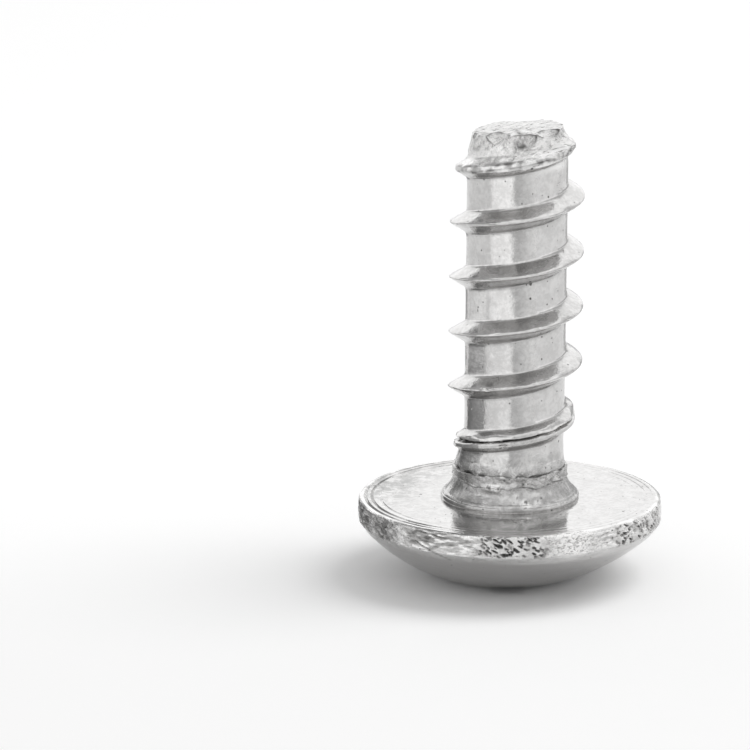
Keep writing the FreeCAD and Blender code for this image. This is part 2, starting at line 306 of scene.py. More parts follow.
class StageLook(bpy.types.PropertyGroup):
    """Floor, light and camera."""

    elevation: FloatProperty(
        name="Camera elevation", description="How far the camera looks down",
        default=math.radians(14.2), subtype="ANGLE")
    distance: FloatProperty(
        name="Camera distance", description="Camera to the point it aims at",
        default=122.9 * MM, unit="LENGTH")
    aim_sideways: FloatProperty(
        name="Aim sideways", description="Aim point beside the screw's axis",
        default=-3.11 * MM, unit="LENGTH")
    aim_height: FloatProperty(
        name="Aim height", description="Aim point above the bearing face",
        default=2.79 * MM, unit="LENGTH")
    lens: FloatProperty(
        name="Lens", description="Focal length on a 36 mm sensor, in millimetres",
        default=264, min=20)
    floor_size: FloatProperty(
        name="Floor size", description="Side of the pale floor",
        default=0.8, unit="LENGTH")
    fill: FloatProperty(
        name="Fill", description="Strength of the even light from all sides",
        default=0.62, min=0, max=1)
    horizon: FloatProperty(
        name="Horizon", description="Brightness of the surroundings that the steel reflects",
        default=1.28, min=0)
    key_power: FloatProperty(
        name="Key power", description="Power of the large soft lamp overhead, in watts",
        default=0.42, min=0)


def mm(length):
    """Length in millimetres: pieces are modelled a thousand times as large, so that cuts stay exact."""
    return length / MM


def smooth_step(low, high, value):
    """Share from 0 at low to 1 at high, easing at both ends; low may be the larger of the two."""
    share = min(1.0, max(0.0, (value - low) / (high - low)))
    return share * share * (3 - 2 * share)


def between(value, low, low_full, high_full, high):
    """Share of 1 between the two full values, easing to 0 at low and high."""
    return smooth_step(low, low_full, value) * (1 - smooth_step(high_full, high, value))


def hump(value, middle, width):
    """Share of 1 at the middle that falls off softly to both sides."""
    return math.exp(-((value - middle) / width) ** 2)


def steps(first, last, count):
    """Evenly spaced values from first to last, both included."""
    return [first + (last - first) * number / (count - 1) for number in range(count)]


def along(value, stations):
    """Value of a smooth line through (place, value) stations."""
    if value <= stations[0][0]:
        return stations[0][1]
    for (place, here), (following, there) in zip(stations, stations[1:]):
        if value <= following:
            return here + (there - here) * smooth_step(place, following, value)
    return stations[-1][1]


def select_nothing():
    """Leave edit mode and deselect every object."""
    if bpy.context.object and bpy.context.object.mode != "OBJECT":
        bpy.ops.object.mode_set(mode="OBJECT")
    bpy.ops.object.select_all(action="DESELECT")


def activate(piece):
    """Make the piece the active object and the only selected one."""
    select_nothing()
    piece.select_set(True)
    bpy.context.view_layer.objects.active = piece


def new_piece(name, primitive, **settings):
    """Add a primitive by itself and open it in edit mode with everything selected."""
    select_nothing()
    primitive(**settings)
    piece = bpy.context.object
    piece.name = name
    open_all(piece)
    return piece


def open_all(piece):
    """Open the piece in edit mode with everything selected."""
    activate(piece)
    bpy.ops.object.mode_set(mode="EDIT")
    bpy.ops.mesh.select_all(action="SELECT")


def join_all(pieces):
    """Join the pieces into the first one, which is then active."""
    activate(pieces[0])
    for piece in pieces[1:]:
        piece.select_set(True)
    if len(pieces) > 1:
        bpy.ops.object.join()
    return bpy.context.object


def select_vertices(piece, wanted):
    """Select the vertices of the piece in edit mode whose place passes the test."""
    bpy.ops.mesh.select_mode(type="VERT")
    bpy.ops.mesh.select_all(action="DESELECT")
    mesh = bmesh.from_edit_mesh(piece.data)
    for vertex in mesh.verts:
        if wanted(vertex.co):
            vertex.select_set(True)
    mesh.select_flush_mode()
    bmesh.update_edit_mesh(piece.data)


def use_modifier(piece, kind, **settings):
    """Add a modifier with these settings and apply it."""
    activate(piece)
    modifier = piece.modifiers.new(kind.lower(), kind)
    for name, value in settings.items():
        setattr(modifier, name, value)
    bpy.ops.object.modifier_apply(modifier=modifier.name)


def combine(piece, tool, operation):
    """Join the tool to the piece, or cut it away, and remove the tool."""
    use_modifier(piece, "BOOLEAN", object=tool, operation=operation, solver="EXACT")
    bpy.data.objects.remove(tool)


def draw_chain(name, places):
    """Chain of edges through these places, extruded from one vertex."""
    piece = new_piece(name, bpy.ops.mesh.primitive_plane_add, size=1)
    bpy.ops.mesh.merge(type="CENTER")
    bpy.ops.transform.translate(value=places[0])
    for here, there in zip(places, places[1:]):
        bpy.ops.mesh.extrude_region_move(TRANSFORM_OT_translate={"value": there - here})
    return piece


def sweep(name, points, columns, **settings):
    """Turn a chain of (radius, height) points about the axis, with or without a rise."""
    piece = draw_chain(name, [Vector((radius, 0, height)) for radius, height in points])
    use_modifier(piece, "SCREW", axis="Z", angle=TURN, steps=columns, render_steps=columns, **settings)
    open_all(piece)
    bpy.ops.mesh.remove_doubles(threshold=MERGE)
    bpy.ops.object.mode_set(mode="OBJECT")
    return piece


def spin_solid(name, bands):
    """Closed solid turned about the axis from outlines that follow each other, each with its columns."""
    piece = join_all([sweep(name, points, columns) for points, columns in bands])
    bpy.ops.object.mode_set(mode="EDIT")
    for (points, _), (following, _) in zip(bands, bands[1:]):
        edges = (Vector(points[-1]), Vector(following[0]))
        select_vertices(piece, lambda place: any(
            (Vector((polar(place)[0], place.z)) - edge).length < MERGE for edge in edges))
        bpy.ops.mesh.bridge_edge_loops(type="SINGLE")
    close_solid()
    return piece


def close_solid():
    """Merge doubles, fill open ends and turn the faces outwards."""
    bpy.ops.mesh.select_all(action="SELECT")
    bpy.ops.mesh.remove_doubles(threshold=MERGE)
    bpy.ops.mesh.select_all(action="SELECT")
    bpy.ops.mesh.fill_holes(sides=0)
    bpy.ops.mesh.select_all(action="SELECT")
    bpy.ops.mesh.normals_make_consistent(inside=False)
    bpy.ops.object.mode_set(mode="OBJECT")


def polar(place):
    """Distance from the axis and azimuth from 0 to a full turn."""
    return math.hypot(place.x, place.y), math.atan2(place.y, place.x) % TURN


def scale_across(vertex, share):
    """Move a vertex straight away from the axis, or toward it."""
    vertex.co.x *= share
    vertex.co.y *= share


def weigh(piece, name, share_at):
    """Vertex group whose weight is worked out from the place of each vertex."""
    group = piece.vertex_groups.new(name=name)
    for vertex in piece.data.vertices:
        share = share_at(vertex.co)
        if share > 0:
            group.add([vertex.index], min(1.0, share), "REPLACE")
    return group.name


def roughen(piece, group, scale, depth, detail=2, direction="NORMAL"):
    """Move the vertices of a group in or out by a cloud pattern."""
    texture = bpy.data.textures.new("%s_pattern" % group, "CLOUDS")
    texture.noise_scale = scale
    texture.noise_depth = detail
    use_modifier(
        piece, "DISPLACE", texture=texture, texture_coords="LOCAL", vertex_group=group,
        direction=direction, strength=depth, mid_level=0.5)


def head_bands(head):
    """Outlines of crown, rim, bearing face and neck as (radius, height), each with its mesh columns."""
    rim = mm(head.diameter) / 2
    dome_edge = rim - mm(head.bevel_width)
    dome_low = -mm(head.rim_height + head.bevel_height)
    height = mm(head.height)
    drop = height + dome_low
    dome_radius = (dome_edge ** 2 + drop ** 2) / (2 * drop)
    crown = []
    for radius in steps(0.2, dome_edge - 0.02, 16):
        crown.append((radius, -height + dome_radius - math.sqrt(dome_radius ** 2 - radius ** 2)))
    edge = [(dome_edge, dome_low)]
    for share in steps(0.2, 1.0, 5):
        edge.append((
            dome_edge + mm(head.bevel_width) * share,
            dome_low + mm(head.bevel_height) * share))
    corner = mm(head.rim_round)
    for level in steps(-mm(head.rim_height) + 0.018, -corner, 24):
        edge.append((rim, level))
    for angle in steps(18, 90, 5):
        edge.append((
            rim - corner + corner * math.cos(math.radians(angle)),
            -corner + corner * math.sin(math.radians(angle))))
    return [
        (crown, head.columns // 6), (edge, head.columns),
        (seat_outline(head), head.columns // 3), (neck_outline(head), head.columns // 4)]


def seat_outline(head):
    """Bearing face with its ring grooves."""
    seat = [(3.285, 0), (3.275, 0)]
    for ring, depth in SEAT_RINGS:
        seat += [
            (ring + 0.035, 0), (ring + 0.016, -0.6 * depth), (ring, -depth),
            (ring - 0.016, -0.6 * depth), (ring - 0.035, 0.004), (ring - 0.055, 0)]
    for radius in steps(2.80, mm(head.foot_diameter) / 2 + 0.12, 5):
        seat.append((radius, 0))
    return seat


def neck_outline(head):
    """Foot, flare, fold, collar and the lip of the seam, and in under the lip to the middle."""
    foot = mm(head.foot_diameter) / 2
    waist = mm(head.waist_diameter) / 2
    seam = mm(head.seam_height)
    fold = mm(head.fold_height)
    neck = [(foot + outside, height) for outside, height in FLARE]
    neck += [
        (waist, 0.455), (waist - 0.016, 0.488), (waist + 0.004, fold - 0.008),
        (waist + 0.024, fold + 0.002), (waist + 0.030, fold + 0.022)]
    for level in steps(fold + 0.045, seam - 0.05, 6):
        neck.append((waist + 0.016, level))
    return neck + [
        (waist + 0.018, seam - 0.032), (waist + 0.022, seam - 0.018), (waist + 0.014, seam - 0.004),
        (waist - 0.006, seam + 0.003), (waist - 0.03, seam + 0.001), (waist - 0.055, seam - 0.008),
        (waist - 0.12, seam - 0.012), (waist - 0.25, seam - 0.012), (0.2, seam - 0.012)]


def rim_band(place):
    """Share of the upright rim, easing out at its edges."""
    radius, _ = polar(place)
    return smooth_step(3.12, 3.26, radius) * between(place.z, -0.66, -0.52, -0.05, -0.005)


def patches(place, places):
    """Sum of soft patches round the axis, each as (middle, half width) in degrees."""
    _, azimuth = polar(place)
    total = 0.0
    for middle, width in places:
        away = (math.degrees(azimuth) - middle + 180) % 360 - 180
        total += hump(away, 0, width)
    return total


def rim_wear(place):
    """Share of crumpled skin on the rim."""
    uneven = 0.45 + 0.6 * max(0.0, noise.noise(Vector((place.x, place.y, 0)) * 1.3))
    return rim_band(place) * min(1.0, uneven + patches(place, RIM_FOLDS))


def neck_wear(place):
    """Share of streaks on the neck under its seam, strongest at the front."""
    radius, azimuth = polar(place)
    if radius > NECK_OUTSIDE or place.z < 0.02:
        return 0
    band = smooth_step(0.30, 0.50, place.z) + 0.25
    front = smooth_step(0.1, 0.9, math.cos(azimuth - math.radians(288)))
    return band * (0.28 + 0.72 * front)


def seam_share(place):
    """Share of the folded seam at the top of the neck."""
    radius, _ = polar(place)
    if radius > 1.5:
        return 0
    return smooth_step(0.36, 0.52, place.z)


def fade_rings(piece):
    """Make the ring grooves in the bearing face shallow at the front and right."""
    for vertex in piece.data.vertices:
        radius, azimuth = polar(vertex.co)
        if 2.8 < radius < 3.28 and abs(vertex.co.z) < 0.06:
            vertex.co.z *= 0.12 + 0.88 * smooth_step(-0.05, 0.8, math.cos(azimuth - math.radians(155)))


def cells(place):
    """How far a place is from the edges of the cell it lies in, and the middle of that cell."""
    distances, middles = noise.voronoi(place)
    return distances[1] - distances[0], middles[0]


def scratch_share(place, head):
    """Share of the slanting scratch on the rim."""
    radius, azimuth = polar(place)
    if radius < RIM_INSIDE or place.z > 0:
        return 0.0
    rim = mm(head.diameter) / 2
    first, last = [Vector((math.radians(degrees) * rim, height)) for degrees, height in RIM_SCRATCH]
    here = Vector((azimuth * rim, place.z))
    share = min(1.0, max(0.0, (here - first).dot(last - first) / (last - first).length_squared))
    away = (here - first - (last - first) * share).length
    return (1 - 0.6 * share) * hump(away, 0, 0.020)


def rim_skin(place, head):
    """Torn skin of the rim: how far it lies in, how much painted shade and grime darkens it, and how much
    painted highlight brightens it.

    Over the lower bevel it is plain. Above it there are thin ridges and grey plates, with patches
    of fish-scale cracks, of slanting pits and of rough folds."""
    radius, azimuth = polar(place)
    band = rim_band(place) if radius > RIM_INSIDE else 0.0
    if band == 0:
        return 0.0, 0.0, 0.0
    rim = mm(head.diameter) / 2
    tear = mm(head.rim_tear)
    x, y, height = rim * math.cos(azimuth), rim * math.sin(azimuth), place.z
    bend = noise.noise(Vector((2.2 * x, 2.2 * y, 4 * height)))
    upper = smooth_step(-0.54, -0.44, height + 0.07 * bend)
    scaly = min(1.0, patches(place, RIM_SCALES))
    folded = min(1.0, patches(place, RIM_FOLDS))
    scale = Vector((5.5 * x, 5.5 * y, 15 * height + 1.2 * bend))
    edge, middle = cells(scale)
    crack = 1 - smooth_step(0.0, 0.13, edge)
    lean = scale.z - middle.z
    depth = tear * upper * (0.25 + scaly) * (0.5 * crack - 0.4 * lean)
    # Painted shade in the cracks between the scales, painted highlight on the scales.
    dark = upper * (0.06 + 0.26 * scaly) * crack
    bare_and_highlight = upper * scaly * (1 - crack)
    wave = noise.noise(Vector((3.4 * x, 3.4 * y, 13 * height + 1.6 * bend)))
    wave += 0.5 * noise.noise(Vector((7 * x, 7 * y, 27 * height + 4)))
    ridge = smooth_step(0.10, 0.32, wave)
    groove = smooth_step(-0.16, -0.38, wave)
    plain = upper * (1 - scaly)
    depth -= 0.9 * tear * plain * wave
    # Painted highlight on the thin ridges and, weaker, over the lower bevel.
    bare_and_highlight = max(bare_and_highlight, plain * ridge, 0.35 * (1 - upper))
    plates = 0.5 * smooth_step(-0.42, -0.28, height) * patches(place, RIM_PLATES)
    dark = max(dark, plain * (0.03 + 0.42 * groove + min(0.5, plates)) * (1 - ridge))
    slant = Vector((
        6.2 * (0.86 * azimuth * rim - 0.50 * height), 19 * (0.50 * azimuth * rim + 0.86 * height), 0))
    edge, middle = cells(slant)
    pit = smooth_step(0.09, 0.40, edge) * smooth_step(-0.38, -0.02, noise.noise(middle * 1.7))
    share = upper * min(1.0, patches(place, RIM_PITS))
    depth += share * 2.2 * tear * (pit - 0.2)
    dark = max(dark * (1 - share), share * (0.10 + 0.70 * pit))
    # Painted glints between the pits.
    glint = smooth_step(-0.3, 0.2, noise.noise(slant * 0.4))
    bare_and_highlight = max(bare_and_highlight * (1 - share), 0.75 * share * (1 - pit) * glint)
    rough = noise.noise(slant * 0.7) + 0.5 * noise.noise(slant * 1.6)
    fold = smooth_step(-0.35, 0.35, rough)
    depth += upper * folded * 1.2 * tear * fold
    dark = max(dark, upper * folded * (0.26 + 0.42 * fold))
    bare_and_highlight *= 1 - 0.8 * folded * fold
    scratch = scratch_share(place, head)
    return band * depth + 0.03 * scratch, max(band * dark, 0.9 * scratch), band * bare_and_highlight * (1 - scratch)


def crumple_rim(piece, head):
    """Press the torn skin into the rim."""
    for vertex in piece.data.vertices:
        depth, _, _ = rim_skin(vertex.co, head)
        if depth:
            scale_across(vertex, 1 - depth / polar(vertex.co)[0])


def raise_burr(piece, waist):
    """Push out the pressed burr in the fold at the front left of the neck, so that it faces up."""
    for vertex in piece.data.vertices:
        if polar(vertex.co)[0] < NECK_OUTSIDE and 0.3 < vertex.co.z < 0.7:
            burr = patches(vertex.co, NECK_BURR) * hump(vertex.co.z, 0.48, 0.07)
            scale_across(vertex, 1 + burr * (0.085 + 0.07 * noise.noise(vertex.co * 5)) / waist)


def turn_head(head):
    """Head and neck turned from their outline, with a torn rim and a wavy folded seam."""
    piece = spin_solid("head", head_bands(head))
    fade_rings(piece)
    crumple_rim(piece, head)
    seam = weigh(piece, "seam", seam_share)
    roughen(piece, seam, 0.42, 0.10, detail=1, direction="Z")
    roughen(piece, seam, 0.11, 0.035, detail=1, direction="Z")
    neck = weigh(piece, "neck", neck_wear)
    roughen(piece, neck, 0.13, 0.07)
    raise_burr(piece, mm(head.waist_diameter) / 2)
    return piece


def ridge_height(offset, shank):
    """Height of the full ridge over the core, at this distance from its middle along the axis."""
    full = mm(shank.thread_diameter - shank.core_diameter) / 2
    half_crest = mm(shank.crest_width) / 2
    slope = math.tan(shank.thread_angle / 2)
    away = math.hypot(offset, half_crest * 0.7) - half_crest * 0.7
    height = full - away / slope
    fillet = 0.035 if offset > 0 else 0.055
    return (height + math.hypot(height, fillet)) / 2 - 0.25 * fillet ** 2 / full


def ridge_rows(shank):
    """Places along the axis of the mesh rows in one pitch, close together on crest and roots."""
    pitch = mm(shank.pitch)
    upper = [0.015, 0.03, 0.05, 0.075, 0.11, 0.15, 0.185, 0.21, 0.235, 0.26, 0.29]
    upper += steps(0.34, pitch / 2, 5)
    return [-row for row in reversed(upper)] + [0.0] + upper


def crest_limit(turn_height):
    """Radius that the crest reaches, by the height of the ridge's middle."""
    return along(turn_height, [
        (0.85, 1.16), (1.15, 1.335), (1.95, 1.365), (2.45, 1.50), (6.95, 1.50),
        (7.50, 1.385), (8.10, 1.28), (8.30, 1.25)])


def neck_radius(height):
    """Radius of the neck above its seam, which narrows to the core."""
    if height < NECK_SEAM:
        return NECK_TOP - 0.1 * smooth_step(0, 0.1, NECK_SEAM - height)
    crevice = 0.05 * hump(height, NECK_SEAM, 0.035)
    return NECK_TOP - 0.19 * (height - NECK_SEAM) - crevice


def end_radius(height, azimuth, shank):
    """Radius that the rounded shoulder of the point allows, fuller on the side where the ridge runs out."""
    end = mm(shank.end)
    shoulder = mm(shank.lead_diameter) / 2
    tip = mm(shank.tip_diameter) / 2
    fuller = 0.06 * max(0.0, math.cos(azimuth))
    return fuller + along(height, [
        (end - 0.50, 1.60), (end - 0.36, 1.33), (end - 0.20, shoulder + 0.06),
        (end - 0.06, tip + 0.04), (end + 0.1, tip)])


def ridge_offset(height, azimuth, shank):
    """How far a place lies above the middle of the nearest turn of the ridge."""
    pitch = mm(shank.pitch)
    middle = mm(shank.thread_start) + pitch * azimuth / TURN
    return (height - middle + pitch / 2) % pitch - pitch / 2


def shank_radius(height, azimuth, shank):
    """Radius of the rolled shank at a height and azimuth."""
    end = mm(shank.end)
    core = along(height, [
        (end - mm(shank.lead_length), mm(shank.core_diameter) / 2),
        (end, mm(shank.lead_diameter) / 2)])
    offset = ridge_offset(height, azimuth, shank)
    turn_height = height - offset
    place = Vector((math.cos(azimuth), math.sin(azimuth), height))
    ragged = 1 - smooth_step(2.0, 2.4, turn_height) + smooth_step(7.1, 7.6, turn_height)
    limit = crest_limit(turn_height) + (0.012 + 0.03 * ragged) * noise.noise(place * 2.6)
    limit -= 0.22 * max(0.0, noise.noise(place * 7) - 0.40)
    if turn_height < 2.4:
        near_head = 1 - smooth_step(1.9, 2.4, turn_height)
        wander = noise.noise(place * 3)
        open_end = hump(math.degrees(azimuth), 190, 22)
        slot = hump(offset, 0.022 + 0.02 * wander, 0.020 + 0.014 * open_end)
        limit -= near_head * 0.04 * smooth_step(0.0, 0.12, offset)
        limit -= near_head * (0.11 + 0.10 * wander + 0.06 * open_end) * slot
    last = smooth_step(7.2, 7.6, turn_height)
    limit -= last * 1.5 * max(0.0, offset - 0.03)
    radius = core + ridge_height(offset, shank)
    radius = min(radius, max(limit, core))
    radius = max(radius, neck_radius(height))
    return min(radius, end_radius(height, azimuth, shank))


def roll_shank(shank):
    """Shank with its ridge: one pitch of the outline swept up a helix, then trimmed at both ends.

    The sheared face gets rings of small faces, and the front of the point a finer mesh, so that
    both can carry their wear."""
    pitch = mm(shank.pitch)
    core = mm(shank.core_diameter) / 2
    start = mm(shank.thread_start) - pitch
    end = mm(shank.end)
    turns = math.ceil((end - start) / pitch) + 1
    outline = [(core + ridge_height(row, shank), start + row) for row in ridge_rows(shank)]
    piece = sweep("shank", outline, shank.columns, screw_offset=pitch, iterations=turns)
    for vertex in piece.data.vertices:
        radius, azimuth = polar(vertex.co)
        scale_across(vertex, shank_radius(vertex.co.z, azimuth, shank) / radius)
    open_all(piece)
    bpy.ops.mesh.bisect(
        plane_co=(0, 0, SHANK_FOOT), plane_no=(0, 0, 1), use_fill=True, clear_inner=True)
    bpy.ops.mesh.select_all(action="SELECT")
    bpy.ops.mesh.bisect(
        plane_co=(0, 0, end), plane_no=(-math.sin(shank.tip_tilt), 0, math.cos(shank.tip_tilt)),
        use_fill=True, clear_outer=True)
    for ring in range(FACE_RINGS - 1, 0, -1):
        bpy.ops.mesh.extrude_region_move()
        bpy.ops.transform.resize(value=(ring / (ring + 1),) * 3, center_override=(0, 0, end))
    select_vertices(piece, lambda place: place.z > end - FINE_POINT and place.y < 0.15)
    bpy.ops.mesh.subdivide(number_cuts=1)
    bpy.ops.mesh.select_all(action="SELECT")
    bpy.ops.transform.rotate(
        value=-shank.lean, orient_axis="Y", center_override=(0, 0, NECK_SEAM))
    close_solid()
    return piece


def cross_outline(height, half_span, half_width, land_radius):
    """Flat cross with the corners between its wings rounded."""
    piece = new_piece("cross", bpy.ops.mesh.primitive_plane_add, size=2 * half_width)
    bpy.ops.transform.translate(value=(0, 0, height))
    wing = half_span - half_width
    for x, y in ((1, 0), (0, 1), (-1, 0), (0, -1)):
        edge = Vector((x, y, 0)) * half_width
        select_vertices(piece, lambda place: (
            place.to_2d().dot(edge.to_2d()) > 0 and place.to_2d().length < 1.5 * half_width))
        bpy.ops.mesh.extrude_region_move(
            TRANSFORM_OT_translate={"value": Vector((x, y, 0)) * wing})
    bpy.ops.mesh.select_all(action="SELECT")
    bpy.ops.mesh.dissolve_limited(angle_limit=math.radians(1))
    select_vertices(
        piece, lambda place: max(abs(abs(place.x) - half_width), abs(abs(place.y) - half_width)) < MERGE)
    bpy.ops.mesh.bevel(offset=land_radius, segments=10, affect="VERTICES", clamp_overlap=False)
    bpy.ops.object.mode_set(mode="OBJECT")
    return piece


def recess_tool(head, recess):
    """Solid of the cross recess: crosses at four levels, bridged."""
    top = -mm(head.height)
    bevel = top + mm(recess.mouth_depth)
    floor = bevel + mm(recess.depth)
    mouth_rise = mm(recess.mouth_depth) + CUT_ROOM
    half_span = mm(recess.span) / 2
    half_width = mm(recess.wing_width) / 2
    flank = math.tan(recess.flank_taper)
    floor_span = half_span - mm(recess.depth) * math.tan(recess.wing_taper)
    floor_width = half_width - mm(recess.depth) * flank
    share = mm(recess.point_span) / 2 / floor_span
    land = mm(recess.land_radius)
    floor_land = mm(recess.floor_land_radius)
    levels = [
        (top - CUT_ROOM, half_span + mouth_rise, half_width + mouth_rise * flank, land),
        (bevel, half_span, half_width, land),
        (floor, floor_span, floor_width, floor_land),
        (floor + mm(recess.floor_rise), floor_span * share, floor_width * share, floor_land * share)]
    tool = join_all([cross_outline(*level) for level in levels])
    open_all(tool)
    bpy.ops.mesh.delete(type="ONLY_FACE")
    bpy.ops.mesh.select_all(action="SELECT")
    bpy.ops.mesh.bridge_edge_loops(type="SINGLE")
    close_solid()
    return tool


def lands_tool(head, recess):
    """Turned solid that slopes the tips of the lands and dishes the dome round the recess."""
    lip = -mm(head.height) + mm(recess.lip_depth)
    lip_radius = mm(recess.facet_diameter) / 2
    reach = mm(recess.span) / 2 + CUT_ROOM
    below = -mm(head.height) - CUT_ROOM
    inner = lip + mm(recess.facet_depth)
    points = [
        (0.1, inner), (lip_radius - mm(recess.facet_depth), inner), (lip_radius, lip),
        (reach, lip + (lip_radius - reach) * -math.tan(recess.dish_angle)), (reach, below), (0.1, below)]
    return spin_solid("lands", [(points, ROUND_COLUMNS)])


def chip_tool(number, inner, outer, sizes):
    """Rough ellipsoid that takes a chip out of the point, down the slope between two places."""
    along_slope, across, deep = sizes
    tool = new_piece(
        "chip_%d" % number, bpy.ops.mesh.primitive_ico_sphere_add, subdivisions=4, radius=1)
    bpy.ops.transform.resize(value=(along_slope, across, deep))
    bpy.ops.object.mode_set(mode="OBJECT")
    group = weigh(tool, "chip_%d" % number, lambda place: 1)
    roughen(tool, group, 0.16, 0.035)
    turn = (outer - inner).to_track_quat("X", "Z")
    tool.rotation_euler = turn.to_euler()
    tool.location = (inner + outer) / 2 + turn @ Vector((0, 0, deep))
    mark_faces(tool, 1)
    return tool


def mark_faces(piece, number):
    """Put the faces in one of two slots, so that chips are known from skin after the cut."""
    piece.data.materials.clear()
    for name in ("skin", "chip"):
        piece.data.materials.append(bpy.data.materials.get(name) or bpy.data.materials.new(name))
    for face in piece.data.polygons:
        face.material_index = number


def break_point(piece, shank):
    """Break chips out of the edge of the point, most of them at the front."""
    end = Vector((0, 0, mm(shank.end)))
    mark_faces(piece, 0)
    for number, (inner, outer, sizes) in enumerate(CHIPS):
        tool = chip_tool(number, Vector(inner) + end, Vector(outer) + end, sizes)
        combine(piece, tool, "DIFFERENCE")


def tip_wear(place):
    """Share of the ragged, sheared skin at the point."""
    return smooth_step(7.45, 8.0, place.z)


def set_head_aside(piece, offset):
    """Shift head and neck a little to one side of the shank, fading out up the neck; the crown most."""
    for vertex in piece.data.vertices:
        height = vertex.co.z
        vertex.co.x += offset * (1 - smooth_step(0.8, 1.6, height))
        vertex.co.x += 0.8 * offset * (1 - smooth_step(-1.5, -0.6, height))


def shade(piece):
    """Smooth shading with crisp edges."""
    activate(piece)
    bpy.ops.object.shade_smooth_by_angle(angle=CREASE)


def neck_skin(place, head):
    """Torn and folded skin of the neck: how much painted shade and grime darkens it, and how much painted
    highlight brightens it.
    """
    radius, azimuth = polar(place)
    height = place.z
    if radius > NECK_OUTSIDE or height < 0.005 or height > 0.8:
        return 0.0, 0.0
    foot = mm(head.foot_diameter) / 2
    # Painted shade in the crease at the foot of the neck.
    dark = 0.30 * between(height, 0.005, 0.025, 0.08, 0.1) * smooth_step(foot - 0.03, foot - 0.01, radius)
    dark = max(dark, 0.35 * patches(place, NECK_SHADOW) * smooth_step(0.50, 0.56, height))
    dark = max(dark, 0.16 * between(height, 0.09, 0.13, 0.46, 0.50))
    spotted = patches(place, NECK_SPOTS) * between(height, 0.06, 0.14, 0.34, 0.44)
    spotted *= smooth_step(-0.15, 0.25, noise.noise(place * 5))
    edge, middle = cells(Vector((8 * 1.4 * azimuth, 13 * height, 3)))
    pit = smooth_step(0.06, 0.30, edge) * smooth_step(-0.05, 0.20, noise.noise(middle * 1.7))
    torn = patches(place, NECK_TEAR) * hump(height, 0.53, 0.08)
    # Painted highlight on the bright spotted and torn patches.
    bright = max(0.9 * spotted, min(1.0, 1.4 * torn)) * (1 - pit)
    return max(dark * (1 - bright), spotted * pit, 0.7 * torn * pit), bright


def seam_cavity(place, head):
    """Share of painted shade in the crevice where the shank comes out of the neck, with a faint darkening
    above it.
    """
    radius, _ = polar(place)
    if radius > 1.32:
        return 0.0
    seam = hump(place.z, mm(head.seam_height), 0.05)
    above = 0.09 * between(place.z, 0.74, 0.80, 1.1, 1.35)
    return max(above, 0.85 * seam * smooth_step(1.235, 1.20, radius))


def seam_glints(place):
    """Share of painted glints: bright flecks just above the seam at the front."""
    band = between(place.z, 0.73, 0.77, 0.86, 0.95)
    flecks = smooth_step(0.08, 0.25, noise.noise(Vector((6 * place.x, 6 * place.y, 16 * place.z))))
    return band * flecks * min(1.0, patches(place, SEAM_FLECKS))


def thread_cavity(place, shank):
    """Share of painted shade in the lower root of the ridge, on its lower flank, just under the crest and
    in the fold of its first turn, and of dark flecks on ragged crests.
    """
    radius, azimuth = polar(place)
    if radius > 1.6 or place.z < 0.9 or place.z > 8.1:
        return 0.0
    offset = ridge_offset(place.z, azimuth, shank)
    turn_height = place.z - offset
    last = smooth_step(*LAST_TURN, turn_height)
    root = 0.30 * hump(offset, -0.25, 0.05) + 0.16 * (1 - last) * hump(offset, 0.23, 0.03)
    ragged = 1 - smooth_step(1.9, 2.3, turn_height)
    fold = ragged * smooth_step(0.03, 0.08, crest_limit(turn_height) - radius)
    fold *= hump(offset, 0.022, 0.045) * smooth_step(0.95, 0.25, place.x)
    lower = 0.16 * between(offset, -0.32, -0.24, -0.08, -0.03)
    blunt = last * hump(offset, 0.045, 0.028)
    blunt *= smooth_step(-0.35, 0.1, noise.noise(place * 6)) * smooth_step(0.25, 0.0, place.x)
    under = 0.5 * hump(offset, -0.05, 0.018) * smooth_step(0.0, 0.3, noise.noise(place * 2.5))
    crest = last * between(offset, -0.14, -0.10, 0.0, 0.05)
    crest *= 0.14 + 0.42 * smooth_step(-0.2, 0.3, noise.noise(place * 9))
    return root + lower + under + crest + 0.75 * fold + 0.9 * blunt


def point_cavity(place):
    """Share of the dark, torn spot in the broken edge of the point and of the shadow at its left."""
    spot = patches(place, POINT_SPOT) * between(place.z, 8.00, 8.12, 8.38, 8.46)
    torn = noise.noise(Vector((place.x * 7, place.y * 7, place.z * 20)))
    left = 0.45 * patches(place, POINT_SHADOW) * between(place.z, 7.95, 8.05, 8.36, 8.46)
    return spot * max(0.0, 0.6 + 1.2 * torn) + left * smooth_step(-0.3, 0.3, noise.noise(place * 7))


def under_face(place, shank):
    """How far a place lies below the plane of the sheared face."""
    return mm(shank.end) + math.tan(shank.tip_tilt) * place.x - place.z


def bare_point(place, shank):
    """Share of bare, sheared metal: the broken face and the last turn, less on the wall between them."""
    radius, _ = polar(place)
    below = under_face(place, shank)
    face = smooth_step(0.16, 0.04, below)
    turn = smooth_step(7.55, 7.75, place.z) * smooth_step(1.06, 1.12, radius)
    chipped = patches(place, POINT_CHIP) * smooth_step(0.34, 0.26, below)
    return max(face, turn, 0.9 * chipped, 0.55 * smooth_step(7.6, 7.8, place.z))


def rim_edge(place):
    """Share of the rounded edge between the rim and the bearing face."""
    return smooth_step(3.26, 3.30, polar(place)[0]) * smooth_step(-0.10, -0.05, place.z)


def seat_share(place):
    """Share of the bearing face, without its edge and the neck."""
    radius, _ = polar(place)
    return between(radius, 1.62, 1.66, 3.28, 3.33) * smooth_step(-0.06, -0.04, place.z)


def darkened_share(place):
    """Share of painted shade on the left of the bearing face, as cast by a screw beside it, and, weaker, of
    darker mottled patches on the neck.
    """
    radius, _ = polar(place)
    seat = patches(place, SEAT_SHADE) * smooth_step(1.9, 2.5, radius)
    return seat * between(place.z, -0.06, -0.04, 0.05, 0.1) + 0.45 * between(place.z, 0.0, 0.1, 1.05, 1.25)


